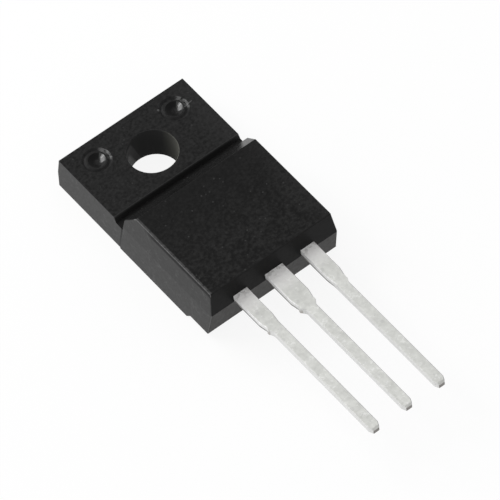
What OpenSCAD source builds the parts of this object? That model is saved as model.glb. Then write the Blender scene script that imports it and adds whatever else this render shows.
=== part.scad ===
// Power transistor in a fully insulated three-lead package.
// It lies on its back: the back face is at Z 0, the screw hole's axis is the Z axis,
// the tab's free end is towards +Y and the leads run towards -Y.

/* [Case body] */
// Width of the body across its back face
body_w = 10.16; // [9.6:0.02:11]
// Width of the body at the parting line
body_part_w = 9.88; // [9.5:0.02:10.1]
// Width of the body across its front face
body_front_w = 9.4; // [8.8:0.02:9.8]
// Height of the front face above the back face
body_h = 4.5; // [4.3:0.02:5.2]
// Distance from the screw hole to the lead end of the body, at the parting line
body_reach = 12.3; // [11.8:0.05:13]
// How far the front face stops short of the lead end
lead_end_front_in = 0.2; // [0.05:0.01:0.5]
// How far the back face stops short of the lead end
lead_end_back_in = 0.44; // [0.1:0.01:0.8]
// Height of the relief under the body's lead end
relief_h = 0.4; // [0.1:0.02:0.6]
// Length of the relief under the body's lead end
relief_len = 2.2; // [1:0.05:3]
// Size of the 45 degree slope between the front face and the shoulder
shoulder_slope = 1.07; // [0.5:0.01:1.2]
// Distance from the screw hole to the shoulder wall, at the back face
shoulder_y = 2.95; // [2.85:0.01:3.1]
// Draft angle of the shoulder wall
shoulder_draft = 10; // [2:0.5:12]

/* [Mounting tab] */
// Width of the tab across its back face
tab_w = 10.06; // [9.4:0.02:10.9]
// Width of the tab at its parting line
tab_part_w = 9.92; // [9.3:0.02:10.4]
// Width of the tab across its front face
tab_front_w = 9.8; // [9.2:0.02:10.2]
// Thickness of the tab, which is also the height of the body's parting line
tab_h = 2.6; // [2.5:0.02:2.8]
// Height of the tab's own parting line
tab_part_h = 1.3; // [0.8:0.02:1.8]
// Distance from the screw hole to the tab's free end, at its parting line
tab_reach = 3.45; // [3.2:0.05:4.5]
// How far the tab's front face stops short of its free end
tab_front_in = 0.18; // [0.05:0.01:0.4]
// How far the tab's back face stops short of its free end
tab_back_in = 0.04; // [0.02:0.01:0.4]
// Width of the groove's floor between the tab and the shoulder
groove_w = 0.75; // [0.4:0.01:0.9]
// Depth of the groove
groove_depth = 0.4; // [0.1:0.02:0.45]
// Width of the groove's sloped wall on the tab's side
groove_wall = 0.17; // [0.05:0.01:0.35]
// Diameter of the screw hole
screw_hole_d = 3.3; // [3:0.05:3.7]

/* [Pin marks] */
// Distance of each pin mark from the middle of the tab
mark_x = 3.05; // [2.9:0.05:3.3]
// Distance of the pin marks beyond the screw hole's axis
mark_y = 1.72; // [1.2:0.02:1.9]
// Outer diameter of the thin ring around a pin mark
mark_ring_d = 1.96; // [1.7:0.02:2.2]
// Width of the ring
mark_ring_w = 0.3; // [0.1:0.02:0.3]
// Depth of the ring
mark_ring_depth = 0.06; // [0.03:0.01:0.12]
// Diameter of the conical pit inside the ring
mark_pit_d = 1.16; // [0.8:0.02:1.2]
// Depth of the conical pit
mark_pit_depth = 0.3; // [0.1:0.02:0.5]

/* [Leads] */
// Distance between the middle lines of neighbouring leads
lead_pitch = 2.54; // [2.5:0.01:2.6]
// Thickness of the lead strip
lead_t = 0.5; // [0.4:0.01:0.6]
// Width of a lead's narrow tail
tail_w = 0.74; // [0.6:0.01:0.9]
// Length of the leads beyond the body
lead_reach = 13.15; // [5:0.05:16]
// Width of the centre lead next to the body
centre_root_w = 1.38; // [1:0.01:1.5]
// How far an outer lead's root stands out on its outer side
outer_step = 0.24; // [0.1:0.01:0.3]
// How far an outer lead's root stands out on its inner side
inner_step = 0.08; // [0.02:0.01:0.12]
// Length of the wide roots beyond the body
root_len = 2.5; // [1.5:0.05:4]
// Length of the slanted cut where the tie bar was taken off
bar_cut_len = 0.65; // [0.3:0.05:1]
// How much the cut takes off the root on each side
bar_cut_in = 0.13; // [0.05:0.01:0.14]
// Length of the stub of the tie bar that the cut left
bar_stub_len = 0.24; // [0.12:0.02:0.4]
// Length of the stub's two slanted ends
bar_stub_slant = 0.05; // [0.02:0.01:0.05]
// How far the stub stands out
bar_stub_out = 0.06; // [0.02:0.01:0.12]
// Length of the taper from the stub to the tail
taper_len = 0.26; // [0.15:0.01:0.5]
// Length of the bevel at a lead's tip
tip_len = 0.34; // [0.1:0.02:0.5]
// How much the bevel narrows the tip on each side
tip_in = 0.15; // [0.05:0.01:0.2]
// Height of the rounded-off front edge of a lead's tip
tip_drop = 0.1; // [0.05:0.01:0.3]

/* [Heat spreader] */
// Width of the heat spreader under the chip
spreader_w = 8.2; // [7.5:0.1:8.8]
// Thickness of the heat spreader
spreader_t = 1; // [0.9:0.05:1.1]
// Thickness of the case under the heat spreader
back_wall = 0.65; // [0.55:0.01:0.7]
// Thickness of the case between the heat spreader and the lead end
end_wall = 2.45; // [2.3:0.05:2.6]
// Thickness of the case around the screw hole's wall
hole_wall = 0.85; // [0.6:0.05:1.1]
// How far the spreader's ears pass the screw hole's axis
ear_reach = 2.4; // [2.4:0.05:2.6]
// Radius of the two notches that lock the spreader in the case
lock_r = 0.45; // [0.2:0.05:0.6]
// Distance of the locking notches from the screw hole
lock_y = 4.6; // [4.2:0.1:5.2]
// Angle at which the centre lead drops to the spreader
drop_angle = 60; // [55:1:70]
// Length of the centre lead's level stretch inside the case
drop_start = 1.95; // [1.85:0.05:2.1]

/* [Bonding posts] */
// Width of a bonding post
post_w = 2.1; // [1.8:0.05:2.2]
// Length of a bonding post
post_len = 1.3; // [1:0.05:1.5]
// Length of the neck between a bonding post and the body's lead end
neck_len = 0.55; // [0.4:0.05:0.8]
// How far a bonding post reaches towards the middle from its lead's middle line
post_in = 0.75; // [0.6:0.05:0.9]

/* [Chip and wires] */
// Width of the chip
chip_w = 3.4; // [2.6:0.1:4]
// Length of the chip
chip_len = 3.1; // [2.6:0.1:3.4]
// Thickness of the chip
chip_t = 0.28; // [0.15:0.01:0.35]
// Distance of the chip's middle from the screw hole
chip_y = 7.1; // [6.9:0.1:7.2]
// Thickness of the solder under the chip
solder_t = 0.06; // [0.03:0.01:0.1]
// Width of the solder's border around the chip
solder_border = 0.15; // [0.05:0.01:0.25]
// Diameter of the control wire
control_wire_d = 0.2; // [0.15:0.01:0.25]
// Diameter of each power wire
power_wire_d = 0.36; // [0.25:0.01:0.4]
// Distance between the two power wires
power_wire_gap = 0.85; // [0.8:0.01:0.95]
// Height of the wires' loops above a straight line between their feet
loop_rise = 0.9; // [0.7:0.05:1]
// Length of a wire's squashed foot, in wire diameters
foot_len = 2; // [1.6:0.1:2.4]
// Width of a wire's squashed foot, in wire diameters
foot_w = 1.2; // [1.05:0.05:1.3]
// Height of a wire's squashed foot, in wire diameters
foot_h = 0.7; // [0.6:0.05:0.9]
// Distance of the control wire's foot from the chip's edges
control_pad_in = 0.5; // [0.4:0.05:0.7]
// How far outside the middle of its post the control wire's foot stands
control_post_out = 0.2; // [0:0.05:0.4]
// Distance of the two power wires' feet from the middle of the chip
power_pad_out = 0.9; // [0.7:0.05:1]
// How far inside the middle of their post the power wires' feet stand
power_post_in = 0.3; // [0.2:0.05:0.35]

/* [Hidden] */
$fn = 64;
through = 1;
case_black = "#262626";
tin = "#c4c5c2";
silicon = "#5d6066";
solder_grey = "#9a9c9f";
bond_aluminium = "#d8dadc";

lead_z = tab_h;
tip_y = -body_reach - lead_reach;
spreader_top = back_wall + spreader_t;
spreader_end = body_reach - end_wall;
groove_floor = tab_h - groove_depth;
shoulder_lean = tan(shoulder_draft);
shoulder_top = body_h - shoulder_slope;
tab_front_end = -shoulder_y - groove_floor * shoulder_lean + groove_w;
chip_top = spreader_top + solder_t + chip_t;
post_top = lead_z + lead_t;
post_y = -body_reach + neck_len + post_len / 2;
post_x = lead_pitch - post_in + post_w / 2;
tail_half = tail_w / 2;
centre_step = centre_root_w / 2 - tail_half;

// Outline across the body or the tab: half widths given at the back, the parting line and the front
module drafted_section(half_back, half_part, half_front, part_h, front_h)
    polygon([
        [-half_back, 0], [half_back, 0], [half_part, part_h], [half_front, front_h],
        [-half_front, front_h], [-half_part, part_h]
    ]);

// Stands a section drawn in X and Z up, and runs it from one Y to another
module along_y(y_from, y_to)
    translate([0, y_to, 0]) rotate([90, 0, 0]) linear_extrude(y_to - y_from) children();

// Stands a section drawn in Y and Z up, and runs it evenly to both sides of the middle
module along_x(width)
    rotate([90, 0, 90]) translate([0, 0, -width / 2]) linear_extrude(width) children();

// Side view of the body: relief at the lead end, 45 degree slope, drafted shoulder wall
module body_side()
    polygon([
        [-shoulder_y, 0],
        [-body_reach + relief_len + relief_h, 0],
        [-body_reach + relief_len, relief_h],
        [-body_reach + lead_end_back_in, relief_h],
        [-body_reach, tab_h],
        [-body_reach + lead_end_front_in, body_h],
        [-shoulder_y - shoulder_top * shoulder_lean - shoulder_slope, body_h],
        [-shoulder_y - shoulder_top * shoulder_lean, shoulder_top]
    ]);

// Side view of the tab, which runs on into the body under the groove's floor
module tab_side()
    polygon([
        [tab_reach - tab_back_in, 0],
        [tab_reach, tab_part_h],
        [tab_reach - tab_front_in, tab_h],
        [tab_front_end + groove_wall, tab_h],
        [tab_front_end, groove_floor],
        [-shoulder_y - shoulder_slope, groove_floor],
        [-shoulder_y - shoulder_slope, 0]
    ]);

module body_block()
    intersection() {
        along_y(-body_reach - through, 0)
            drafted_section(body_w / 2, body_part_w / 2, body_front_w / 2, tab_h, body_h);
        along_x(body_w + through) body_side();
    }

module tab_block()
    intersection() {
        along_y(-body_reach, tab_reach + through)
            drafted_section(tab_w / 2, tab_part_w / 2, tab_front_w / 2, tab_part_h, tab_h);
        along_x(tab_w + through) tab_side();
    }

// Mark left by a support pin of the mould: a conical pit inside a thin ring
module pin_mark()
    translate([0, 0, tab_h]) rotate_extrude() {
        polygon([
            [mark_ring_d / 2, through], [mark_ring_d / 2, 0],
            [(mark_ring_d - mark_ring_w) / 2, -mark_ring_depth],
            [mark_ring_d / 2 - mark_ring_w, 0], [mark_ring_d / 2 - mark_ring_w, through]
        ]);
        polygon([[0, through], [mark_pit_d / 2, through], [mark_pit_d / 2, 0], [0, -mark_pit_depth]]);
    }

module screw_hole()
    translate([0, 0, -through]) cylinder(h = tab_h + 2 * through, d = screw_hole_d);

module case()
    color(case_black) difference() {
        union() {
            body_block();
            tab_block();
        }
        screw_hole();
        for (side = [-1, 1]) translate([side * mark_x, mark_y, 0]) pin_mark();
        spreader_shape();
        for (side = [-1, 1]) on_side(side) outer_lead_shape(0);
        solder_shape();
        chip_shape();
        control_wire_shape();
        for (place = [-0.5, 0.5]) power_wire_shape(place);
    }

// Puts what is drawn for the right on the left where side is -1
module on_side(side)
    if (side < 0) mirror([1, 0, 0]) children();
    else children();

// Outline of a lead beyond the body, from the given steps beside its tail and stubs on its two sides.
// The tie bar's cut slants in from the root, and the tail's tip is bevelled.
module lead_outline(step_low, step_high, stub_low, stub_high, y_in) {
    y_cut = -body_reach - root_len;
    y_stub = y_cut - bar_cut_len;
    y_taper = y_stub - bar_stub_len;
    y_tail = y_taper - taper_len;
    low = -tail_half;
    high = tail_half;
    cut_low = low - max(step_low - bar_cut_in, 0);
    cut_high = high + max(step_high - bar_cut_in, 0);
    polygon([
        [low - step_low, y_in], [low - step_low, y_cut], [cut_low, y_stub],
        [cut_low - stub_low, y_stub - bar_stub_slant], [cut_low - stub_low, y_taper + bar_stub_slant],
        [cut_low, y_taper], [low, y_tail], [low, tip_y + tip_len], [low + tip_in, tip_y],
        [high - tip_in, tip_y], [high, tip_y + tip_len], [high, y_tail], [cut_high, y_taper],
        [cut_high + stub_high, y_taper + bar_stub_slant], [cut_high + stub_high, y_stub - bar_stub_slant],
        [cut_high, y_stub], [high + step_high, y_cut], [high + step_high, y_in]
    ]);
}

// Takes the front edge off a lead's tip, where the cutter rolled it over
module tip_roll()
    along_x(2 * lead_pitch + 2 * post_w)
        polygon([
            [tip_y - through, lead_z + lead_t + through], [tip_y + tip_drop, lead_z + lead_t + through],
            [tip_y + tip_drop, lead_z + lead_t], [tip_y, lead_z + lead_t - tip_drop],
            [tip_y - through, lead_z + lead_t - tip_drop]
        ]);

module outer_lead_shape(stub_out)
    difference() {
        translate([0, 0, lead_z]) linear_extrude(lead_t) union() {
            translate([lead_pitch, 0])
                lead_outline(inner_step, outer_step, 0, stub_out, -body_reach + neck_len);
            translate([lead_pitch - post_in, -body_reach + neck_len]) square([post_w, post_len]);
        }
        tip_roll();
    }

// Side view of the centre lead's drop from the lead plane into the heat spreader
module drop_side() {
    run = (lead_z - back_wall) / tan(drop_angle);
    fold = lead_t * tan(drop_angle / 2);
    y_fold = -body_reach + drop_start;
    polygon([
        [-body_reach, lead_z], [y_fold, lead_z], [y_fold + run, back_wall],
        [y_fold + run + lead_t / sin(drop_angle), back_wall],
        [y_fold + fold, lead_z + lead_t], [-body_reach, lead_z + lead_t]
    ]);
}

// Flat outline of the spreader: chip pad, ears on both sides of the screw hole, locking notches
module spreader_outline()
    difference() {
        translate([-spreader_w / 2, -spreader_end]) square([spreader_w, spreader_end + ear_reach]);
        circle(d = screw_hole_d + 2 * hole_wall);
        translate([-screw_hole_d / 2 - hole_wall, 0])
            square([screw_hole_d + 2 * hole_wall, ear_reach + through]);
        for (side = [-1, 1]) translate([side * spreader_w / 2, -lock_y]) circle(r = lock_r);
    }

module spreader_shape()
    difference() {
        union() {
            translate([0, 0, back_wall]) linear_extrude(spreader_t) spreader_outline();
            along_x(centre_root_w) intersection() {
                drop_side();
                translate([-body_reach, back_wall + spreader_t / 2]) square([body_reach, body_h]);
            }
            translate([0, 0, lead_z]) linear_extrude(lead_t)
                lead_outline(centre_step, centre_step, bar_stub_out, 0, -body_reach);
        }
        tip_roll();
    }

module spreader_and_centre_lead() color(tin) spreader_shape();

module left_lead() color(tin) on_side(-1) outer_lead_shape(bar_stub_out);

module right_lead() color(tin) outer_lead_shape(0);

module solder_shape()
    translate([-chip_w / 2 - solder_border, -chip_y - chip_len / 2 - solder_border, spreader_top])
        cube([chip_w + 2 * solder_border, chip_len + 2 * solder_border, solder_t]);

module chip_solder() color(solder_grey) solder_shape();

module chip_shape()
    translate([-chip_w / 2, -chip_y - chip_len / 2, spreader_top + solder_t])
        cube([chip_w, chip_len, chip_t]);

module chip() color(silicon) chip_shape();

// A bond wire from a point on the chip to one on a post: two squashed feet and an even loop
module wire_shape(from, to, wire_d) {
    span = norm(to - from);
    climb = post_top - chip_top;
    chord = norm([span, climb]);
    loop_r = (chord * chord / 4 + loop_rise * loop_rise) / (2 * loop_rise);
    half_turn = asin(chord / 2 / loop_r);
    translate([from[0], from[1], chip_top]) rotate([0, 0, atan2(to[1] - from[1], to[0] - from[0])]) {
        wire_foot(wire_d);
        translate([span, 0, climb]) wire_foot(wire_d);
        translate([0, 0, wire_d / 2]) rotate([0, -atan2(climb, span), 0])
            translate([chord / 2, 0, loop_rise - loop_r]) rotate([90, half_turn - 90, 0])
                rotate_extrude(angle = 2 * half_turn) translate([loop_r, 0]) circle(d = wire_d);
    }
}

module wire_foot(wire_d)
    translate([-foot_len * wire_d / 2, -foot_w * wire_d / 2, 0])
        cube([foot_len * wire_d, foot_w * wire_d, foot_h * wire_d]);

module control_wire_shape()
    wire_shape([-chip_w / 2 + control_pad_in, -chip_y - chip_len / 2 + control_pad_in],
               [-post_x - control_post_out, post_y], control_wire_d);

// The two power wires stand half their distance to both sides of a middle line
module power_wire_shape(place)
    wire_shape([power_pad_out + place * power_wire_gap, -chip_y],
               [post_x - power_post_in + place * power_wire_gap, post_y], power_wire_d);

module control_wire() color(bond_aluminium) control_wire_shape();

module power_wire_inner() color(bond_aluminium) power_wire_shape(-0.5);

module power_wire_outer() color(bond_aluminium) power_wire_shape(0.5);

case();
spreader_and_centre_lead();
left_lead();
right_lead();
chip_solder();
chip();
control_wire();
power_wire_inner();
power_wire_outer();
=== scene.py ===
import math

import bpy
from mathutils import Matrix, Vector


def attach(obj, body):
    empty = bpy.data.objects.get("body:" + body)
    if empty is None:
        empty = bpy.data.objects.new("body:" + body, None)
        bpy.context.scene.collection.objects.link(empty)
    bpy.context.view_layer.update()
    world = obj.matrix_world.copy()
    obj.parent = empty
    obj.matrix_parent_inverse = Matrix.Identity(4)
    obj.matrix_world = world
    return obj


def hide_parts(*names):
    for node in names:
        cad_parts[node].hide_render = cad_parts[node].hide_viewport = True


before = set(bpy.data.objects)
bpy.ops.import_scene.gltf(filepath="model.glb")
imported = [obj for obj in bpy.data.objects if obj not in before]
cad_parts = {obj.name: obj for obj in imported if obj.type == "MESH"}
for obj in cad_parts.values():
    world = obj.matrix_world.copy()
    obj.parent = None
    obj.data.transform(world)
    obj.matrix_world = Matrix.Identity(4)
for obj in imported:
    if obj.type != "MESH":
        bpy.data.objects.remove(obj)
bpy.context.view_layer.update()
mm = 0.001


def report(text):
    print("transistor:", text)


def pick(piece):
    if bpy.context.object and bpy.context.object.mode != "OBJECT":
        bpy.ops.object.mode_set(mode="OBJECT")
    bpy.ops.object.select_all(action="DESELECT")
    bpy.context.view_layer.objects.active = piece
    piece.select_set(True)


# What counts as one point, a flat face, an edge to round and a sharp edge, in mm and degrees
meshSet = dict(mergeGap=0.0005, flatTurn=0.5, roundTurn=20, sharpTurn=1)


# A copy of a CAD node, with its loose triangles merged into flat faces
def copyNode(nodeName, pieceName):
    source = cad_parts[nodeName]
    piece = source.copy()
    piece.data = source.data.copy()
    piece.name = pieceName
    piece.data.name = pieceName
    piece.parent = None
    for key in list(piece.keys()):
        del piece[key]
    bpy.context.scene.collection.objects.link(piece)
    piece.data.materials.clear()
    pick(piece)
    bpy.ops.mesh.customdata_custom_splitnormals_clear()
    bpy.ops.object.mode_set(mode="EDIT")
    bpy.ops.mesh.select_all(action="SELECT")
    bpy.ops.mesh.remove_doubles(threshold=meshSet["mergeGap"] * mm)
    bpy.ops.mesh.dissolve_limited(angle_limit=math.radians(meshSet["flatTurn"]))
    bpy.ops.object.mode_set(mode="OBJECT")
    bpy.ops.object.shade_smooth()
    return piece


# Rounds a copy's edges. widthOf gets an edge's middle and length, and gives its bevel in mm.
# isCurved says of an edge without a bevel that it lies inside a round wall, and stays smooth.
def softenEdges(piece, widthOf, isCurved, segments):
    mesh = piece.data
    sides = {}
    for face in mesh.polygons:
        for key in face.edge_keys:
            sides.setdefault(key, []).append(face.normal.copy())
    widths = []
    sharp = []
    for edge in mesh.edges:
        normals = sides.get(edge.key, [])
        a, b = (mesh.vertices[i].co / mm for i in edge.vertices)
        middle = (a + b) / 2
        turn = math.degrees(normals[0].angle(normals[1], 0)) if len(normals) == 2 else 0
        width = widthOf(middle, (b - a).length) if turn > meshSet["roundTurn"] else 0
        widths.append(width)
        stays = isCurved(middle, (b - a).normalized())
        sharp.append(width == 0 and turn > meshSet["sharpTurn"] and not stays)
    widest = max(widths)
    weight = mesh.attributes.new("bevel_weight_edge", "FLOAT", "EDGE")
    weight.data.foreach_set("value", [width / widest for width in widths])
    crease = mesh.attributes.get("sharp_edge") or mesh.attributes.new("sharp_edge", "BOOLEAN", "EDGE")
    crease.data.foreach_set("value", sharp)
    pick(piece)
    bevel = piece.modifiers.new("softEdges", "BEVEL")
    bevel.limit_method = "WEIGHT"
    bevel.width = widest * mm
    bevel.segments = segments
    bevel.use_clamp_overlap = False
    bevel.harden_normals = True
    bpy.ops.object.modifier_apply(modifier="softEdges")


def finishPiece(piece, node, finish):
    piece.data.materials.append(finish)
    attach(piece, "root")
    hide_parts(node)


# Small helpers for shader nodes. An input takes a plain value or another node's output.
def feed(tree, socket, value):
    if hasattr(value, "links"):
        tree.links.new(value, socket)
    elif value is not None:
        socket.default_value = value


def mathNode(tree, operation, a, b=None, clamp=False):
    node = tree.nodes.new("ShaderNodeMath")
    node.operation = operation
    node.use_clamp = clamp
    feed(tree, node.inputs[0], a)
    feed(tree, node.inputs[1], b)
    return node.outputs[0]


def plus(tree, a, b, clamp=False):
    return mathNode(tree, "ADD", a, b, clamp)


def minus(tree, a, b):
    return mathNode(tree, "SUBTRACT", a, b)


def times(tree, first, *others):
    for other in others:
        first = mathNode(tree, "MULTIPLY", first, other)
    return first


def absolute(tree, value):
    return mathNode(tree, "ABSOLUTE", value)


# Rises from 0 to 1, or between the numbers in to, as the value goes from the first end to the second
def ramp(tree, value, ends, to=(0, 1)):
    node = tree.nodes.new("ShaderNodeMapRange")
    feed(tree, node.inputs["Value"], value)
    for name, number in zip(("From Min", "From Max", "To Min", "To Max"), (*ends, *to)):
        feed(tree, node.inputs[name], number)
    return node.outputs["Result"]


# The same for a place, with the ends in mm
def placeRamp(tree, value, ends, to=(0, 1)):
    return ramp(tree, value, (ends[0] * mm, ends[1] * mm), to)


def mixColour(tree, factor, a, b):
    node = tree.nodes.new("ShaderNodeMix")
    node.data_type = "RGBA"
    feed(tree, node.inputs[0], factor)
    feed(tree, node.inputs[6], a)
    feed(tree, node.inputs[7], b)
    return node.outputs[2]


def grey(value, warm=0.0):
    return (value * (1 + warm), value, value * (1 - warm), 1)


# Lays a grey tone over a colour where the mask is 1
def paint(tree, colour, mask, tone, warm=0.0):
    return mixColour(tree, mask, colour, grey(tone, warm))


def splitVector(tree, vector):
    node = tree.nodes.new("ShaderNodeSeparateXYZ")
    tree.links.new(vector, node.inputs[0])
    return node.outputs


# Where a surface faces, as X, Y and Z
def facing(tree):
    return splitVector(tree, tree.nodes.new("ShaderNodeNewGeometry").outputs["Normal"])


def noiseNode(tree, place, scale, detail, roughness):
    node = tree.nodes.new("ShaderNodeTexNoise")
    tree.links.new(place, node.inputs["Vector"])
    feed(tree, node.inputs["Scale"], scale)
    node.inputs["Detail"].default_value = detail
    node.inputs["Roughness"].default_value = roughness
    return node.outputs["Fac"]


# Shader node groups that several finishes share. Inputs come with their usual values.
def newGroup(name, inputs, outputs):
    group = bpy.data.node_groups.new(name, "ShaderNodeTree")
    for socketName, value in inputs.items():
        kind = "NodeSocketVector" if isinstance(value, tuple) else "NodeSocketFloat"
        socket = group.interface.new_socket(name=socketName, in_out="INPUT", socket_type=kind)
        socket.default_value = value
    for socketName in outputs:
        group.interface.new_socket(name=socketName, in_out="OUTPUT", socket_type="NodeSocketFloat")
    return group, group.nodes.new("NodeGroupInput").outputs, group.nodes.new("NodeGroupOutput").inputs


# Two sizes of uneven tone, stretched where a surface was drawn or rolled
def makeMottle():
    inputs = dict(place=(0, 0, 0), stretch=(1, 1, 1), fineScale=9000, broadScale=700, fineShare=0.6)
    group, into, out = newGroup("unevenTone", inputs, ("tone", "fine"))
    contrast = (0.3, 0.7)
    stretch = group.nodes.new("ShaderNodeVectorMath")
    stretch.operation = "MULTIPLY"
    group.links.new(into["place"], stretch.inputs[0])
    group.links.new(into["stretch"], stretch.inputs[1])
    fine = noiseNode(group, stretch.outputs[0], into["fineScale"], detail=3, roughness=0.6)
    broad = noiseNode(group, stretch.outputs[0], into["broadScale"], detail=4, roughness=0.55)
    fine = ramp(group, fine, contrast)
    broad = ramp(group, broad, contrast)
    tone = times(group, fine, into["fineShare"])
    rest = times(group, broad, minus(group, 1, into["fineShare"]))
    group.links.new(plus(group, tone, rest, clamp=True), out["tone"])
    group.links.new(fine, out["fine"])
    return group


# Small separate specks, such as dust and filler grains, each of its own strength
def makeSpecks():
    inputs = dict(place=(0, 0, 0), scale=3000, size=0.16, share=0.3)
    group, into, out = newGroup("specks", inputs, ("mask",))
    cells = group.nodes.new("ShaderNodeTexVoronoi")
    group.links.new(into["place"], cells.inputs["Vector"])
    group.links.new(into["scale"], cells.inputs["Scale"])
    dot = mathNode(group, "LESS_THAN", cells.outputs["Distance"], into["size"])
    chance = group.nodes.new("ShaderNodeSeparateColor")
    group.links.new(cells.outputs["Color"], chance.inputs[0])
    kept = mathNode(group, "LESS_THAN", chance.outputs[0], into["share"])
    group.links.new(times(group, chance.outputs[1], dot, kept), out["mask"])
    return group


# Short thin curls and scuffs: contour lines of one noise, broken up by another
def makeScuffs():
    inputs = dict(place=(0, 0, 0), scale=2600, thinness=0.02, share=0.55)
    group, into, out = newGroup("shortScuffs", inputs, ("mask",))
    noiseMiddle = 0.5
    breakScale = 0.7
    breakSoftness = 0.08
    hills = noiseNode(group, into["place"], into["scale"], detail=1, roughness=0.4)
    line = ramp(group, absolute(group, minus(group, hills, noiseMiddle)), (into["thinness"], 0))
    broader = times(group, into["scale"], breakScale)
    breaks = noiseNode(group, into["place"], broader, detail=2, roughness=0.6)
    kept = ramp(group, breaks, (into["share"], plus(group, into["share"], breakSoftness)))
    group.links.new(times(group, line, kept), out["mask"])
    return group


mottle = makeMottle()
specks = makeSpecks()
scuffs = makeScuffs()
report("shared surface effects made")


def newFinish(name):
    finish = bpy.data.materials.new(name)
    finish.use_nodes = True
    tree = finish.node_tree
    place = tree.nodes.new("ShaderNodeTexCoord").outputs["Object"]
    return finish, tree, tree.nodes["Principled BSDF"], place


def useGroup(tree, group, place, **values):
    node = tree.nodes.new("ShaderNodeGroup")
    node.node_tree = group
    tree.links.new(place, node.inputs["place"])
    for name, value in values.items():
        node.inputs[name].default_value = value
    return node.outputs


def setShader(shader, values):
    for name, value in values.items():
        shader.inputs[name].default_value = value


def addBump(tree, shader, height, depth):
    bump = tree.nodes.new("ShaderNodeBump")
    bump.inputs["Distance"].default_value = depth * mm
    bump.inputs["Strength"].default_value = 1
    tree.links.new(height, bump.inputs["Height"])
    tree.links.new(bump.outputs[0], shader.inputs["Normal"])


# How far a place lies in a direction given in X and Y
def shareAlong(tree, x, y, way):
    return plus(tree, times(tree, x, way[0]), times(tree, y, way[1]))


# 1 inside a round column
def columnMask(tree, x, y, centre, radius):
    offX = minus(tree, x, centre[0] * mm)
    offY = minus(tree, y, centre[1] * mm)
    squares = plus(tree, times(tree, offX, offX), times(tree, offY, offY))
    return mathNode(tree, "LESS_THAN", squares, (radius * mm) ** 2)


# 1 along a straight stroke from a to b
def strokeMask(tree, x, y, a, b, width):
    length = math.dist(a, b)
    way = [(q - p) / length for p, q in zip(a, b)]
    solidShare = 0.4
    offX = minus(tree, x, a[0] * mm)
    offY = minus(tree, y, a[1] * mm)
    run = shareAlong(tree, offX, offY, way)
    off = absolute(tree, shareAlong(tree, offX, offY, (way[1], -way[0])))
    started = mathNode(tree, "GREATER_THAN", run, 0)
    notEnded = mathNode(tree, "LESS_THAN", run, length * mm)
    return times(tree, placeRamp(tree, off, (width, solidShare * width)), started, notEnded)


# The case. Tones are grey levels and lengths are mm. Y runs from the leads (low) to the tab (high),
# and height is above the back. A pair is where a change starts and where it is full, or its two values.
# Across in bore, and side and rise in pinMark, are directions in X and Y.
caseSet = dict(
    bevels=dict(long=0.08, tab=0.05, rim=0.05, groove=0.04, slope=0.015, step=0.015),
    bevelSegments=3,
    texture=dict(fineScale=4600, broadScale=1500, fineShare=0.75),
    specks=dict(scale=3600, size=0.22, share=0.18),
    faceCurls=dict(scale=2400, thinness=0.03, share=0.5),
    wallCurls=dict(scale=1900, thinness=0.06, share=0.52),
    shader={"IOR": 1.5, "Specular IOR Level": 0.12, "Coat IOR": 1.5, "Coat Roughness": 0.1},
    rough=(0.40, 0.54),
    grain=0.010,
    facing=dict(up=(0.94, 0.985), wall=(0.4, 0.6), under=(-0.02, -0.12), upright=(0.98, 0.94)),
    face=dict(dark=0.0, light=0.0125, warm=0.01, speckTone=0.03, level=0.42, notUpLevel=0.4, evenTone=0.5,
              contrast=2.0, fade=(-4.4, -10), fadeShare=(0.25, 1), right=(3.2, 4.3), rightLevel=0.4),
    tab=dict(start=(-2.5, -2.4), tone=0.021, level=0.32, contrast=0.9, rightLevel=0.15),
    groove=dict(start=(-3.5, -3.4), end=(-2.3, -2.4), tone=0.018, lipHeight=(2.44, 2.54), lipTone=0.045),
    wall=dict(tone=0.047, scuffTone=0.072, shadeHeight=(4.14, 4.26), shadeStart=(-5.2, -6.4),
              shadeShare=0.9),
    creaseShade=dict(lean=0.176, start=(-2.95, -2.93), end=(-2.75, -2.81), height=(0, 2.2), share=(0.4, 1),
              tone=0.0),
    end=dict(facing=(-0.85, -0.95), start=(-11, -12), underLightTone=0.031, underLightWarm=0.04),
    corner=dict(facingX=(0.3, 0.4), facingY=(-0.3, -0.4), height=(2.7, 2.6), tone=0.11),
    slope=dict(facingY=(0.04, 0.12), facingZ=(0.3, 0.6), tone=0.005, flat=(0.6, 0.68), rough=(0.19, 0.25),
               coat=0.05),
    edgeHighlight=dict(start=(-0.3, -0.4), end=(-0.93, -0.86), height=(4.2, 4.3), fine=(0.1, 0.7),
                share=(0.45, 1), tone=0.13),
    border=dict(start=(-4.5, -4.58), height=(4.3, 4.4), mottle=(0.2, 0.6), share=(0.3, 1), tone=0.06),
    bore=dict(radius=1.75, rough=0.75, tone=0.034, across=(0.838, -0.545), sheen=(0.65, 1.5),
              sheenTone=(0.10, 0.10, 0.088, 1), lean=3.9, patch=(-2.9, -3.2), patchHeight=(2.3, 2.1),
              patchTone=0.085, spot=(-4.1, -4.6), spotHeight=(1.7, 1.2), spotTone=0.26),
    pinMark=dict(centre=(3.05, 1.72), radius=1.0, pitRadius=0.6, height=(2.1, 2.15), tone=0.012, rough=0.5,
                 side=(0.757, -0.654), rise=(0.611, 0.792)),
    ring=dict(highlightRise=(0.55, 0.75), highlightSide=(-0.05, 0.15), highlightFine=(0.2, 0.6), highlightTone=0.07,
              rise=(0, 0.25), side=(0, 0.2), fine=(0.25, 0.6), coat=0.6),
    pit=dict(half=(0.07, 0.13), rise=(-0.14, -0.04), side=(0.52, 0.42), dimCoat=0.22, coat=1.0),
    scratches=(dict(a=(3.62, 1.42), b=(4.27, 1.51), width=0.05),
               dict(a=(2.15, 2.24), b=(2.27, 2.32), width=0.1)),
    scratchTone=0.07,
)


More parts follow.
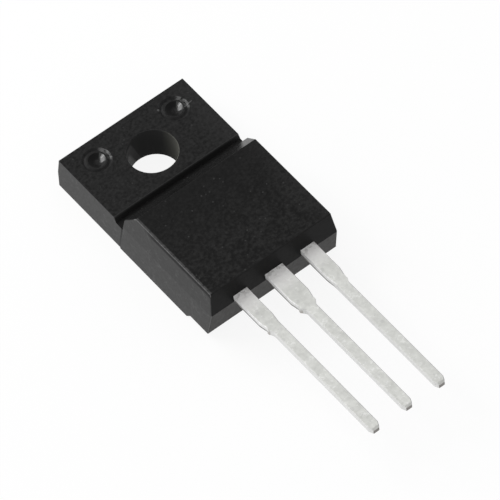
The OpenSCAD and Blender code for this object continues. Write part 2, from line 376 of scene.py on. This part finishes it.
# Where the parts of the case's surface are, each as a mask from 0 to 1
def caseMasks(tree, place):
    x, y, z = splitVector(tree, place)
    faceX, faceY, faceZ = facing(tree)
    look, tab, groove = caseSet["facing"], caseSet["tab"], caseSet["groove"]
    slope, pinMark = caseSet["slope"], caseSet["pinMark"]
    at = dict(x=x, y=y, height=z, faceX=faceX, faceY=faceY, sideways=absolute(tree, faceX))
    at["up"] = ramp(tree, faceZ, look["up"])
    at["notUp"] = minus(tree, 1, at["up"])
    at["wall"] = ramp(tree, at["sideways"], look["wall"])
    at["under"] = ramp(tree, faceZ, look["under"])
    at["tab"] = times(tree, placeRamp(tree, y, tab["start"]), at["up"])
    within = times(tree, placeRamp(tree, y, groove["start"]), placeRamp(tree, y, groove["end"]))
    at["groove"] = times(tree, within, at["notUp"])
    at["slope"] = times(tree, ramp(tree, faceY, slope["facingY"]), ramp(tree, faceZ, slope["facingZ"]))
    at["flatSlope"] = times(tree, at["slope"], ramp(tree, faceY, slope["flat"]))
    at["front"] = placeRamp(tree, z, pinMark["height"])
    sunk = times(tree, at["notUp"], at["front"])
    mirrored = absolute(tree, x)
    at["mark"] = times(tree, columnMask(tree, mirrored, y, pinMark["centre"], pinMark["radius"]), sunk)
    at["pit"] = times(tree, columnMask(tree, mirrored, y, pinMark["centre"], pinMark["pitRadius"]), sunk)
    at["ring"] = minus(tree, at["mark"], at["pit"])
    upright = ramp(tree, absolute(tree, faceZ), look["upright"])
    at["bore"] = times(tree, columnMask(tree, x, y, (0, 0), caseSet["bore"]["radius"]), upright)
    # how far right and up a point lies in its pin mark, as the photograph shows it
    markX = minus(tree, x, times(tree, mathNode(tree, "SIGN", x), pinMark["centre"][0] * mm))
    markY = minus(tree, y, pinMark["centre"][1] * mm)
    at["markSide"] = shareAlong(tree, markX, markY, pinMark["side"])
    at["markRise"] = shareAlong(tree, markX, markY, pinMark["rise"])
    return at


# The faces that look up have the mould's eroded texture, and the walls are smoother
def paintFaces(tree, place, at, mottled):
    face, tab, groove = caseSet["face"], caseSet["tab"], caseSet["groove"]
    dots = useGroup(tree, specks, place, **caseSet["specks"])
    curls = useGroup(tree, scuffs, place, **caseSet["faceCurls"])
    uneven = times(tree, minus(tree, mottled["tone"], face["evenTone"]), at["up"])
    base = plus(tree, face["level"], times(tree, at["notUp"], face["notUpLevel"]))
    level = plus(tree, base, times(tree, uneven, face["contrast"]), clamp=True)
    level = times(tree, level, placeRamp(tree, at["y"], face["fade"], face["fadeShare"]))
    right = placeRamp(tree, at["x"], face["right"])
    level = plus(tree, level, times(tree, right, face["rightLevel"]), clamp=True)
    colour = mixColour(tree, level, grey(face["dark"]), grey(face["light"], face["warm"]))
    colour = paint(tree, colour, times(tree, dots["mask"], at["up"]), face["speckTone"])
    colour = paint(tree, colour, times(tree, curls["mask"], at["up"]), face["dark"])
    base = plus(tree, tab["level"], times(tree, right, tab["rightLevel"]))
    level = plus(tree, times(tree, uneven, tab["contrast"]), base, clamp=True)
    colour = paint(tree, colour, times(tree, at["tab"], level), tab["tone"])
    colour = paint(tree, colour, at["groove"], groove["tone"])
    lip = times(tree, at["groove"], placeRamp(tree, at["height"], groove["lipHeight"]))
    return paint(tree, colour, lip, groove["lipTone"])


# The long walls: painted paler than the faces as painted reflected light, scuffed, with a painted shade
# below the front edge and a line of painted crease shade beside the body's wall
def paintWalls(tree, place, at, colour):
    wall, creaseShade = caseSet["wall"], caseSet["creaseShade"]
    curls = useGroup(tree, scuffs, place, **caseSet["wallCurls"])
    # the wall tone is painted paler than the faces as painted reflected light
    wallColour = mixColour(tree, curls["mask"], grey(wall["tone"]), grey(wall["scuffTone"]))
    shade = times(tree, placeRamp(tree, at["height"], wall["shadeHeight"]),
                  placeRamp(tree, at["y"], wall["shadeStart"]), wall["shadeShare"])
    wallColour = paint(tree, wallColour, shade, caseSet["face"]["dark"])
    # a thin line of painted crease shade where the tab meets the body's wall
    lean = plus(tree, at["y"], times(tree, at["height"], creaseShade["lean"]))
    creaseShadeMask = times(tree, placeRamp(tree, lean, creaseShade["start"]), placeRamp(tree, lean, creaseShade["end"]),
                 placeRamp(tree, at["height"], creaseShade["height"], creaseShade["share"]))
    wallColour = paint(tree, wallColour, creaseShadeMask, creaseShade["tone"])
    return mixColour(tree, at["wall"], colour, wallColour)


# The lead end, painted darker as painted shade; the faces that look down, painted paler and warmer as
# painted reflected light; the lower corners, painted pale as a painted highlight; and the slope before the
# groove
def paintEnds(tree, at, colour):
    end, corner = caseSet["end"], caseSet["corner"]
    # the lead end is painted darker as painted shade
    leadEnd = times(tree, ramp(tree, at["faceY"], end["facing"]), placeRamp(tree, at["y"], end["start"]))
    colour = paint(tree, colour, leadEnd, caseSet["face"]["dark"])
    # the faces that look down are painted paler and warmer as painted reflected light from the floor
    colour = paint(tree, colour, at["under"], end["underLightTone"], end["underLightWarm"])
    # a painted highlight on the lower corners between the walls and the lead end
    low = times(tree, ramp(tree, at["sideways"], corner["facingX"]),
                ramp(tree, at["faceY"], corner["facingY"]),
                placeRamp(tree, at["height"], corner["height"]))
    colour = paint(tree, colour, low, corner["tone"])
    return paint(tree, colour, at["slope"], caseSet["slope"]["tone"])


# The left edge of the front face has a painted highlight, with a faint painted highlight on a border
# beside it
def paintEdge(tree, at, colour, mottled):
    edgeHighlight, border = caseSet["edgeHighlight"], caseSet["border"]
    # a painted highlight on the rounded left edge, broken up by the fine mottle
    paintedHighlight = times(tree, ramp(tree, at["faceX"], edgeHighlight["start"]), ramp(tree, at["faceX"], edgeHighlight["end"]),
                 placeRamp(tree, at["height"], edgeHighlight["height"]),
                 ramp(tree, mottled["fine"], edgeHighlight["fine"], edgeHighlight["share"]))
    colour = paint(tree, colour, paintedHighlight, edgeHighlight["tone"])
    # a faint painted highlight on the front face beside that edge
    strip = times(tree, placeRamp(tree, at["x"], border["start"]), at["up"],
                  placeRamp(tree, at["height"], border["height"]),
                  ramp(tree, mottled["tone"], border["mottle"], border["share"]))
    return paint(tree, colour, strip, border["tone"])


# The bore's wall is painted paler as painted reflected light, with a painted sheen on one side, and on the
# other a pale patch of painted reflection that widens towards the back
def paintBore(tree, at, colour):
    bore = caseSet["bore"]
    # the whole bore is painted with reflected light: a paler wall, a painted sheen and a painted pale
    # patch and spot
    across = shareAlong(tree, at["x"], at["y"], bore["across"])
    sheen = placeRamp(tree, across, bore["sheen"])
    boreColour = mixColour(tree, sheen, grey(bore["tone"]), bore["sheenTone"])
    lean = plus(tree, at["height"], times(tree, across, bore["lean"]))
    for name in ("patch", "spot"):
        area = times(tree, placeRamp(tree, lean, bore[name]),
                     placeRamp(tree, at["height"], bore[name + "Height"]))
        boreColour = paint(tree, boreColour, area, bore[name + "Tone"])
    return mixColour(tree, at["bore"], colour, boreColour)


# The pin marks are black, and the upper right of their rings has a painted highlight. A scratch and a
# speck lie beside the right one.
def paintMarks(tree, at, colour, mottled):
    ring, black = caseSet["ring"], caseSet["face"]["dark"]
    markColour = mixColour(tree, mottled["fine"], grey(black), grey(caseSet["pinMark"]["tone"]))
    colour = mixColour(tree, at["mark"], colour, markColour)
    colour = paint(tree, colour, at["pit"], black)
    # a painted highlight on the upper right of each ring
    paintedHighlight = times(tree, at["ring"], placeRamp(tree, at["markRise"], ring["highlightRise"]),
                 placeRamp(tree, at["markSide"], ring["highlightSide"]),
                 ramp(tree, mottled["fine"], ring["highlightFine"]))
    colour = paint(tree, colour, paintedHighlight, ring["highlightTone"])
    for scratch in caseSet["scratches"]:
        mask = times(tree, strokeMask(tree, at["x"], at["y"], **scratch), at["front"])
        colour = paint(tree, colour, mask, caseSet["scratchTone"])
    return colour


def caseRoughness(tree, at, mottled):
    rough = ramp(tree, mottled["tone"], (0, 1), caseSet["rough"])
    slopeRough = ramp(tree, mottled["tone"], (0, 1), caseSet["slope"]["rough"])
    markRough, boreRough = caseSet["pinMark"]["rough"], caseSet["bore"]["rough"]
    for name, value in (("flatSlope", slopeRough), ("mark", markRough), ("bore", boreRough)):
        rough = plus(tree, rough, times(tree, at[name], minus(tree, value, rough)))
    return rough


# One half of each pit kept a polish, which is best in one quarter, and so did a sector of its ring
def casePolish(tree, at, mottled):
    pit, ring = caseSet["pit"], caseSet["ring"]
    quarter = times(tree, placeRamp(tree, at["markRise"], pit["rise"]),
                    placeRamp(tree, at["markSide"], pit["side"]))
    pitCoat = times(tree, placeRamp(tree, at["markSide"], pit["half"]),
                    ramp(tree, quarter, (0, 1), (pit["dimCoat"], pit["coat"])))
    ringCoat = times(tree, placeRamp(tree, at["markRise"], ring["rise"]),
                     placeRamp(tree, at["markSide"], ring["side"]),
                     ramp(tree, mottled["fine"], ring["fine"], (0, ring["coat"])))
    coat = plus(tree, times(tree, at["pit"], pitCoat), times(tree, at["ring"], ringCoat))
    return plus(tree, coat, times(tree, at["flatSlope"], caseSet["slope"]["coat"]))


def makeEpoxy():
    finish, tree, shader, place = newFinish("mouldedEpoxy")
    mottled = useGroup(tree, mottle, place, **caseSet["texture"])
    at = caseMasks(tree, place)
    colour = paintFaces(tree, place, at, mottled)
    colour = paintWalls(tree, place, at, colour)
    colour = paintEnds(tree, at, colour)
    colour = paintEdge(tree, at, colour, mottled)
    colour = paintBore(tree, at, colour)
    colour = paintMarks(tree, at, colour, mottled)
    tree.links.new(colour, shader.inputs["Base Color"])
    tree.links.new(caseRoughness(tree, at, mottled), shader.inputs["Roughness"])
    tree.links.new(casePolish(tree, at, mottled), shader.inputs["Coat Weight"])
    addBump(tree, shader, times(tree, mottled["fine"], at["up"]), caseSet["grain"])
    setShader(shader, caseSet["shader"])
    return finish


# The case's edges are known by their place, in mm. A reach is a distance from a centre or a line.
caseEdges = dict(boreReach=1.7, markReach=1.05, markWall=0.97, wallLean=0.05, shortest=0.15, sideX=4.95,
                 sideReach=0.25, innerHeight=(0.5, 4.2), innerY=(-12, 2.6), outerHeight=2.5, outerY=-5,
                 leadY=-12, leadX=4.5, leadHeight=(2.5, 3.2), backHeight=0.5, stepX=4.7,
                 grooveY=(-3.6, -2), grooveHeight=(2, 2.7), slopeHeight=4.2, slopeX=4.3, slopeY=-5,
                 tabY=-2.9)


def isWithin(value, ends):
    return ends[0] < value < ends[1]


def markDistance(x, y):
    centre = caseSet["pinMark"]["centre"]
    return math.hypot(abs(x) - centre[0], y - centre[1])


# The edges of the space inside the case, round the leads and in the pin marks keep their shape
def caseEdgeStays(x, y, z):
    e = caseEdges
    apart = abs(abs(x) - e["sideX"]) > e["sideReach"] and math.hypot(x, y) > e["boreReach"]
    shoulder = z > e["outerHeight"] and y > e["outerY"]
    if apart and isWithin(z, e["innerHeight"]) and isWithin(y, e["innerY"]) and not shoulder:
        return True
    if y < e["leadY"] and abs(x) < e["leadX"] and isWithin(z, e["leadHeight"]):
        return True
    return markDistance(x, y) < e["markReach"]


def caseEdgeWidth(middle, length):
    x, y, z = middle
    e = caseEdges
    widths = caseSet["bevels"]
    inGroove = isWithin(y, e["grooveY"])
    if caseEdgeStays(x, y, z):
        return 0
    if math.hypot(x, y) < e["boreReach"]:
        return widths["rim"]
    if length < e["shortest"]:
        return 0
    if z < e["backHeight"] or (abs(x) > e["stepX"] and inGroove):
        return widths["step"]
    if inGroove and isWithin(z, e["grooveHeight"]):
        return widths["groove"]
    if z > e["slopeHeight"] and abs(x) < e["slopeX"] and y > e["slopeY"]:
        return widths["slope"]
    return widths["tab"] if y > e["tabY"] else widths["long"]


def isCaseCurve(middle, direction):
    x, y, z = middle
    if math.hypot(x, y) < caseEdges["boreReach"]:
        return True
    return markDistance(x, y) < caseEdges["markWall"] and abs(direction.z) > caseEdges["wallLean"]


case = copyNode("case", "moulded_case")
softenEdges(case, caseEdgeWidth, isCaseCurve, caseSet["bevelSegments"])
finishPiece(case, "case", makeEpoxy())
report("case done")

# The leads, with tones, lengths and pairs as for the case. Roots are their wide parts next to the case.
leadSet = dict(
    bevels=dict(long=0.045, stub=0.012),
    bevelSegments=2,
    texture=dict(fineScale=3600, broadScale=1200, fineShare=0.5),
    curls=dict(scale=3400, thinness=0.06, share=0.52),
    dots=dict(scale=2400, size=0.34, share=0.3),
    dark=(0.51, 0.515, 0.492, 1),
    light=(0.70, 0.705, 0.678, 1),
    rough=(0.42, 0.58),
    grain=0.008,
    metallic=0.3,
    curlTone=0.95,
    curlShare=0.35,
    dotTone=0.42,
    dotShare=0.4,
    root=dict(along=(-15.7, -15.2), pale=(-14.2, -12.6), paleShare=(0, 0.95), tone=0.97, warm=0.01),
    stain=dict(along=(-12.95, -12.45), fine=(0.5, 0.66), share=0.4, tone=0.34, warm=0.04),
    side=dict(facing=(0.6, 0.9), share=(0.6, 0.8), tone=0.92),
    rolled=dict(facing=(-0.25, -0.45), height=(2.9, 2.98), fine=(0.25, 0.65), share=(0.15, 1), tone=1.0),
    rightEdgeShade=dict(facing=(0.12, 0.3), height=(3.0, 3.04), tone=0.22),
    torn=dict(height=(2.80, 2.72), tone=0.18, warm=0.03),
    cut=dict(facing=(-0.6, -0.9), along=(-24.8, -25.2), height=(2.98, 2.9), tone=0.22, warm=0.06),
    stub=dict(centres=((-3.13, -15.62), (-0.54, -15.62)), radius=0.15, height=(3.0, 2.8),
              facing=(0.5, 0.2), tone=0.50, warm=0.04),
    copper=dict(along=(-12.1, -12.0), dark=(0.62, 0.27, 0.14, 1), light=(0.80, 0.40, 0.24, 1)),
)


# The roots are painted paler towards the case as painted light against the case's shade, and stained. The
# leads' sides are painted paler as painted reflected light, the upper edge of the left sides has a painted
# highlight and that of the right sides a painted shade, and the punch tore the lower part of the sides.
def paintRoots(tree, where, look, colour, mottled):
    root, stain, side = leadSet["root"], leadSet["stain"], leadSet["side"]
    rolled, rightEdgeShade, torn = leadSet["rolled"], leadSet["rightEdgeShade"], leadSet["torn"]
    # painted light that makes up for the shade of the case near the roots
    colour = paint(tree, colour, placeRamp(tree, where["Y"], root["pale"], root["paleShare"]),
                   root["tone"], root["warm"])
    spots = times(tree, placeRamp(tree, where["Y"], stain["along"]),
                  ramp(tree, mottled["fine"], stain["fine"]), stain["share"])
    colour = paint(tree, colour, spots, stain["tone"], stain["warm"])
    # the sides are painted paler as painted reflected light
    onSide = ramp(tree, absolute(tree, look["X"]), side["facing"])
    onRoot = placeRamp(tree, where["Y"], root["along"])
    mask = times(tree, onSide, ramp(tree, onRoot, (0, 1), side["share"]))
    colour = paint(tree, colour, mask, side["tone"])
    # a painted highlight on the upper edge of the left sides, broken up by the fine mottle
    mask = times(tree, ramp(tree, look["X"], rolled["facing"]), onRoot,
                 placeRamp(tree, where["Z"], rolled["height"]),
                 ramp(tree, mottled["fine"], rolled["fine"], rolled["share"]))
    colour = paint(tree, colour, mask, rolled["tone"])
    # a painted shade on the upper edge of the right sides
    mask = times(tree, ramp(tree, look["X"], rightEdgeShade["facing"]), placeRamp(tree, where["Z"], rightEdgeShade["height"]))
    colour = paint(tree, colour, mask, rightEdgeShade["tone"])
    mask = times(tree, onSide, placeRamp(tree, where["Z"], torn["height"]), onRoot)
    return paint(tree, colour, mask, torn["tone"], torn["warm"])


# The cut tips and the stubs of the tie bar are painted darker and warmer
def paintCuts(tree, where, look, colour):
    cut, stub = leadSet["cut"], leadSet["stub"]
    mask = times(tree, ramp(tree, look["Y"], cut["facing"]), placeRamp(tree, where["Y"], cut["along"]),
                 placeRamp(tree, where["Z"], cut["height"]))
    colour = paint(tree, colour, mask, cut["tone"], cut["warm"])
    for centre in stub["centres"]:
        mask = times(tree, columnMask(tree, where["X"], where["Y"], centre, stub["radius"]),
                     placeRamp(tree, where["Z"], stub["height"]), ramp(tree, look["Z"], stub["facing"]))
        colour = paint(tree, colour, mask, stub["tone"], stub["warm"])
    return colour


def makeTin(name, copperInside):
    finish, tree, shader, place = newFinish(name)
    mottled = useGroup(tree, mottle, place, **leadSet["texture"])
    curls = useGroup(tree, scuffs, place, **leadSet["curls"])
    dots = useGroup(tree, specks, place, **leadSet["dots"])
    where = splitVector(tree, place)
    look = facing(tree)
    colour = mixColour(tree, mottled["tone"], leadSet["dark"], leadSet["light"])
    colour = paint(tree, colour, times(tree, curls["mask"], leadSet["curlShare"]), leadSet["curlTone"])
    colour = paint(tree, colour, times(tree, dots["mask"], leadSet["dotShare"]), leadSet["dotTone"])
    colour = paintRoots(tree, where, look, colour, mottled)
    colour = paintCuts(tree, where, look, colour)
    if copperInside:
        copper = leadSet["copper"]
        warm = mixColour(tree, mottled["tone"], copper["dark"], copper["light"])
        colour = mixColour(tree, placeRamp(tree, where["Y"], copper["along"]), colour, warm)
    tree.links.new(colour, shader.inputs["Base Color"])
    tree.links.new(ramp(tree, mottled["tone"], (0, 1), leadSet["rough"]), shader.inputs["Roughness"])
    addBump(tree, shader, mottled["fine"], leadSet["grain"])
    setShader(shader, {"Metallic": leadSet["metallic"]})
    return finish


# The leads' edges, known by their place in the same way
leadEdges = dict(start=-12.32, shortest=0.05, stubY=-15.62, stubReach=0.3, stubLongest=0.6)


def leadEdgeWidth(middle, length):
    e = leadEdges
    if middle.y > e["start"] or length < e["shortest"]:
        return 0
    onStub = abs(middle.y - e["stubY"]) < e["stubReach"] and length < e["stubLongest"]
    return leadSet["bevels"]["stub" if onStub else "long"]


def hasNoCurve(middle, direction):
    return False


leadFinish = makeTin("tinPlating", False)
stripFinish = makeTin("tinPlatingOnCopper", True)
leads = (
    ("left_lead", "lead_left", leadFinish),
    ("right_lead", "lead_right", leadFinish),
    ("spreader_and_centre_lead", "lead_centre_with_spreader", stripFinish),
)
for nodeName, pieceName, finish in leads:
    lead = copyNode(nodeName, pieceName)
    softenEdges(lead, leadEdgeWidth, hasNoCurve, leadSet["bevelSegments"])
    finishPiece(lead, nodeName, finish)
report("leads done")

# The pieces inside the case, which keep their CAD shapes
innerSet = dict(
    texture=dict(fineScale=8000, broadScale=1200, fineShare=0.5),
    grain=0.002,
    finishes=dict(
        dullSolder=dict(nodes=("chip_solder",), dark=grey(0.30), light=grey(0.42), rough=(0.4, 0.6),
                        metallic=1.0, stretch=(1, 1, 1)),
        siliconWithMetalFace=dict(nodes=("chip",), dark=grey(0.16, -0.05), light=grey(0.24, -0.04),
                                  rough=(0.12, 0.3), metallic=0.6, stretch=(1, 1, 1)),
        drawnAluminium=dict(nodes=("control_wire", "power_wire_inner", "power_wire_outer"),
                            dark=grey(0.68), light=grey(0.82), rough=(0.2, 0.35), metallic=1.0,
                            stretch=(1, 0.1, 1)),
    ),
)


def makeInner(name, nodes, dark, light, rough, metallic, stretch):
    finish, tree, shader, place = newFinish(name)
    mottled = useGroup(tree, mottle, place, stretch=stretch, **innerSet["texture"])
    tree.links.new(mixColour(tree, mottled["tone"], dark, light), shader.inputs["Base Color"])
    tree.links.new(ramp(tree, mottled["tone"], (0, 1), rough), shader.inputs["Roughness"])
    addBump(tree, shader, mottled["fine"], innerSet["grain"])
    setShader(shader, {"Metallic": metallic})
    for node in nodes:
        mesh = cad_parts[node].data
        mesh.materials.clear()
        mesh.materials.append(finish)


for name, values in innerSet["finishes"].items():
    makeInner(name, **values)
report("inner pieces done")

# Angles are in degrees, lengths in mm and the clip distances in m
cameraSet = dict(azimuth=-33.05, elevation=54.57, roll=-6.27, aim=(-0.04, -9.895, 2.6), distance=390.8,
                 lens=457.6, sensor=36, clipStart=0.01, clipEnd=20)


def addCamera():
    azimuth, elevation, roll = (math.radians(cameraSet[k]) for k in ("azimuth", "elevation", "roll"))
    back = Vector((math.sin(azimuth) * math.cos(elevation), -math.cos(azimuth) * math.cos(elevation),
                   math.sin(elevation)))
    level = Vector((0, 0, 1)).cross(back).normalized()
    right = level * math.cos(roll) + back.cross(level) * math.sin(roll)
    up = back.cross(right)
    lens = bpy.data.cameras.new("photoCamera")
    lens.lens = cameraSet["lens"]
    lens.sensor_width = cameraSet["sensor"]
    lens.clip_start = cameraSet["clipStart"]
    lens.clip_end = cameraSet["clipEnd"]
    camera = bpy.data.objects.new("photoCamera", lens)
    stand = (Vector(cameraSet["aim"]) + back * cameraSet["distance"]) * mm
    camera.matrix_world = Matrix.Translation(stand) @ Matrix((right, up, back)).transposed().to_4x4()
    bpy.context.scene.collection.objects.link(camera)
    bpy.context.scene.camera = camera


addCamera()

# Towards is the way to a lamp from the middle of the object, with lengths in mm. Share is its part of a
# plain level, at which a white face that looks up renders as white.
lampAim = (0, -8, 2)
lamps = dict(
    backSoftbox=dict(towards=(-0.28, 0.72, 0.64), distance=260, width=190, length=150, share=0.34),
    leftLamp=dict(towards=(-0.47, 0.40, 0.79), distance=260, width=60, length=60, share=0.06),
)


def addLamp(name, towards, distance, width, length, share):
    lamp = bpy.data.lights.new(name, "AREA")
    lamp.shape = "RECTANGLE"
    lamp.size = width * mm
    lamp.size_y = length * mm
    direction = Vector(towards).normalized()
    area = width * length * mm * mm
    radiance = share * math.pi * (distance * mm) ** 2 / (area * direction.z)
    lamp.energy = radiance * math.pi * area
    holder = bpy.data.objects.new(name, lamp)
    turn = direction.to_track_quat("Z", "Y").to_matrix().to_4x4()
    holder.matrix_world = Matrix.Translation(Vector(lampAim) * mm + direction * distance * mm) @ turn
    bpy.context.scene.collection.objects.link(holder)


for name, values in lamps.items():
    addLamp(name, **values)

# The floor's size is in m, and it lies floorGap mm under the object
surroundings = dict(ambient=0.61, glow=1.0, floorSize=6, floorGap=0.004, floorTone=0.98, shadowShare=0.11)


# The camera, mirrors and glass see the white surroundings themselves
def seenDirectly(tree):
    path = tree.nodes.new("ShaderNodeLightPath").outputs
    seen = mathNode(tree, "MAXIMUM", path["Is Camera Ray"], path["Is Glossy Ray"])
    return mathNode(tree, "MAXIMUM", seen, path["Is Transmission Ray"])


def addWorld():
    world = bpy.data.worlds.new("studio")
    world.use_nodes = True
    tree = world.node_tree
    background = tree.nodes["Background"]
    background.inputs["Color"].default_value = (1, 1, 1, 1)
    strength = ramp(tree, seenDirectly(tree), (0, 1), (surroundings["ambient"], surroundings["glow"]))
    tree.links.new(strength, background.inputs["Strength"])
    bpy.context.scene.world = world


def addFloor():
    bpy.ops.object.select_all(action="DESELECT")
    bpy.ops.mesh.primitive_plane_add(size=surroundings["floorSize"],
                                     location=(0, 0, -surroundings["floorGap"] * mm))
    floor = bpy.context.object
    floor.name = "paleFloor"
    finish = bpy.data.materials.new("paleFloor")
    finish.use_nodes = True
    tree = finish.node_tree
    tree.nodes.remove(tree.nodes["Principled BSDF"])
    # a white glow for what sees it directly, and the rest a matt floor, which keeps the shadow
    matt = tree.nodes.new("ShaderNodeBsdfDiffuse")
    matt.inputs["Color"].default_value = grey(surroundings["floorTone"])
    glow = tree.nodes.new("ShaderNodeEmission")
    glow.inputs["Strength"].default_value = surroundings["glow"]
    mix = tree.nodes.new("ShaderNodeMixShader")
    tree.links.new(times(tree, seenDirectly(tree), 1 - surroundings["shadowShare"]), mix.inputs[0])
    tree.links.new(matt.outputs[0], mix.inputs[1])
    tree.links.new(glow.outputs[0], mix.inputs[2])
    tree.links.new(mix.outputs[0], tree.nodes["Material Output"].inputs["Surface"])
    floor.data.materials.append(finish)


addWorld()
addFloor()
bpy.context.scene.view_settings.view_transform = "Standard"
report("camera, lamps and floor in place")
